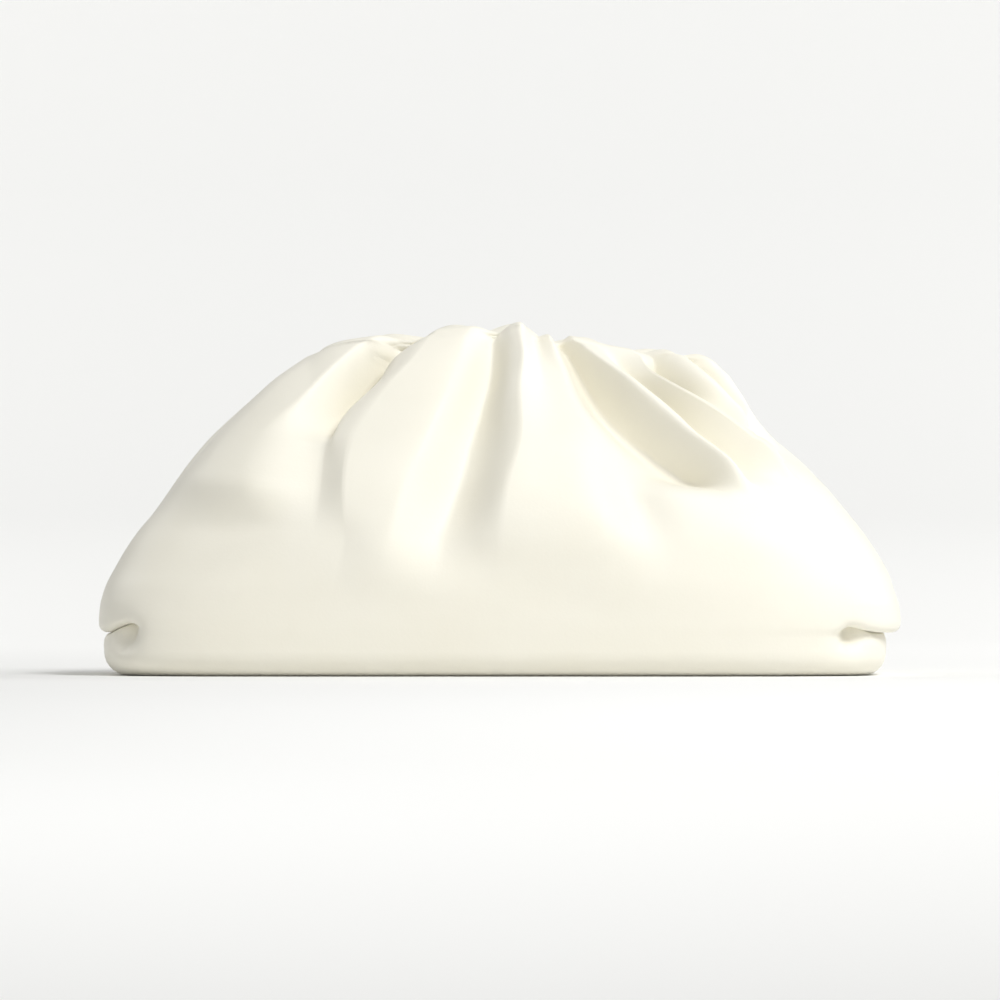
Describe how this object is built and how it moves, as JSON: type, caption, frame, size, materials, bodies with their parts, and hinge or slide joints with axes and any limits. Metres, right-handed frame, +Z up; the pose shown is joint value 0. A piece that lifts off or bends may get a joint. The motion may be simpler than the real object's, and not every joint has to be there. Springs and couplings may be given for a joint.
{
  "type": "soft leather frame clutch bag",
  "caption": "Soft gathered leather pouch clutch on a flat base, its open mouth rolled over a hidden rigid loop.",
  "frame": {"origin": "centre of the flat base, on the surface that the bag stands on", "axes": "+X along the mouth to the viewer's right, -Y towards the front that the picture shows, +Z up through the mouth"},
  "size_m": [0.3778, 0.1735, 0.1657],
  "materials": {
    "calf_leather": "smooth, soft satin, warm ivory white calf leather with a very fine grain",
    "frame_steel": "plain satin steel, hidden inside the rolled rim"
  },
  "bodies": {
    "root": {"leather_body": "calf_leather", "mouth_frame": "frame_steel"}
  },
  "joints": []
}
